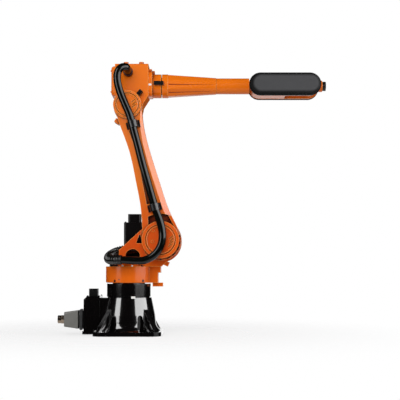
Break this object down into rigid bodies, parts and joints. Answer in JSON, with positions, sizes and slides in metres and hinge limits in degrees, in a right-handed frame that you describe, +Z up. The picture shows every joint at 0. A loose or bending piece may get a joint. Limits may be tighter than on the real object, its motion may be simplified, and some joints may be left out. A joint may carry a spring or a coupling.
{
  "type": "industrial robot arm",
  "caption": "Six-axis robot arm with a bolted base, turning turret, leaning upper arm, long tapered forearm and slim forked wrist, with a hose clipped along it.",
  "frame": {"origin": "centre of the base's foot on its underside, on joint 1's axis", "axes": "+Z up along joint 1's axis, +X the way the arm reaches, the hose side faces -Y"},
  "size_m": [1.5546, 0.502, 1.579],
  "materials": {
    "orange_paint": "gloss",
    "black_paint": "gloss",
    "dark_cover": "matte",
    "black_plastic": "satin",
    "hose_rubber": "satin",
    "grey_metal": "satin",
    "steel": "satin",
    "blackened_steel": "satin",
    "brass_plated": "satin"
  },
  "bodies": {
    "base": {"base_casting": "black_paint", "connection_box": "black_paint", "box_lid": "grey_metal", "box_top_plug": "black_plastic", "connector_socket": "grey_metal", "connector_hood": "grey_metal", "locking_lever": "steel", "cable_gland": "brass_plated"},
    "turret": {"turret_ring": "orange_paint", "turret_casting": "orange_paint", "j1_stop_tab": "orange_paint", "j2_stop_block": "orange_paint", "j1_motor": "black_paint", "j1_motor_cap": "black_paint", "j2_motor": "black_paint", "j2_motor_cap": "black_paint", "hose_conduit": "hose_rubber", "hose_lower": "hose_rubber", "hose_bracket": "orange_paint", "hose_shoulder_span": "hose_rubber"},
    "upper_arm": {"upper_arm_casting": "orange_paint", "j2_hub_cover": "orange_paint", "j3_hub_cover": "orange_paint", "lower_hose_clamp": "black_plastic", "upper_hose_clamp": "black_plastic", "hose_upper": "hose_rubber", "hose_elbow_span": "hose_rubber"},
    "elbow": {"elbow_housing": "orange_paint", "rear_cover": "orange_paint", "j3_motor": "black_paint", "j3_motor_cap": "black_paint", "j4_adapter": "orange_paint", "j3_mark_cover": "black_plastic", "j4_mark_cover": "black_plastic", "hose_fitting": "black_plastic", "hose_end": "hose_rubber"},
    "forearm": {"forearm_flange": "orange_paint", "forearm_tube": "orange_paint", "wrist_fork": "orange_paint", "near_wrist_cover": "dark_cover", "far_wrist_cover": "orange_paint"},
    "hand": {"hand_block": "orange_paint"},
    "tool": {"tool_flange": "blackened_steel"}
  },
  "joints": [
    {"name": "j1_turret", "type": "hinge", "parent": "base", "child": "turret", "pos_m": [0, 0, 0.295], "axis": [0, 0, 1], "range_deg": [-170, 170]},
    {"name": "j2_upper_arm", "type": "hinge", "parent": "turret", "child": "upper_arm", "pos_m": [0.19, 0, 0.545], "axis": [0, 1, 0], "range_deg": [-45, 90], "deforming": ["hose_shoulder_span"]},
    {"name": "j3_elbow", "type": "hinge", "parent": "upper_arm", "child": "elbow", "pos_m": [0.00065, 0, 1.313], "axis": [0, -1, 0], "range_deg": [-50, 145], "deforming": ["hose_elbow_span"]},
    {"name": "j4_forearm", "type": "hinge", "parent": "elbow", "child": "forearm", "pos_m": [0.18715, 0, 1.45], "axis": [1, 0, 0], "range_deg": [-180, 180]},
    {"name": "j5_hand", "type": "hinge", "parent": "forearm", "child": "hand", "pos_m": [1.04965, 0, 1.45], "axis": [0, -1, 0], "range_deg": [-130, 130]},
    {"name": "j6_tool", "type": "hinge", "parent": "hand", "child": "tool", "pos_m": [1.12865, 0, 1.45], "axis": [1, 0, 0], "range_deg": [-350, 350]}
  ]
}
